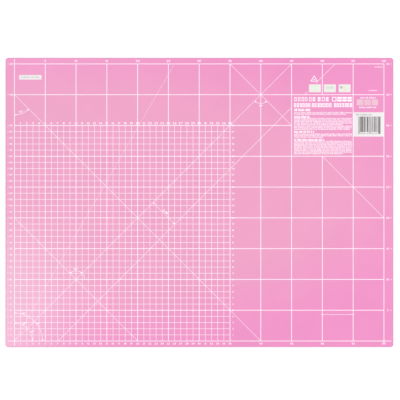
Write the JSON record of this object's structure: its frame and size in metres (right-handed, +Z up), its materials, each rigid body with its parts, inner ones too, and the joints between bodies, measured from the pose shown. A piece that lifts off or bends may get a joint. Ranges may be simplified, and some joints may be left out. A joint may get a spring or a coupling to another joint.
{
  "type": "self-healing cutting mat",
  "caption": "Flat rectangular self-healing cutting mat: soft printed skins on a stiffer laminated core, with a measuring grid, angle guides and white note panels.",
  "frame": {"origin": "middle of the resting face, at the bottom of the mat", "axes": "+X along the long side towards the code panel, +Y along the short side towards the name panel, +Z up out of the printed face"},
  "size_m": [0.63, 0.47, 0.0031],
  "materials": {
    "skin": "soft pink vinyl with a fine matte grain and a slight sheen",
    "core": "stiffer pale pink vinyl, seen only at the cut edge",
    "core_centre": "off-white vinyl, seen only at the cut edge",
    "ink": "screened white ink, matte, a little pink showing through",
    "panel_ink": "opaque white screened ink, smooth"
  },
  "bodies": {
    "root": {"bottom_skin": "skin", "lower_core_ply": "core", "centre_core_ply": "core_centre", "upper_core_ply": "core", "top_skin": "skin", "grid_print": "ink", "name_panel": "panel_ink", "tip_panel_1": "panel_ink", "tip_panel_2": "panel_ink", "tip_panel_3": "panel_ink", "code_panel": "panel_ink"}
  },
  "joints": []
}
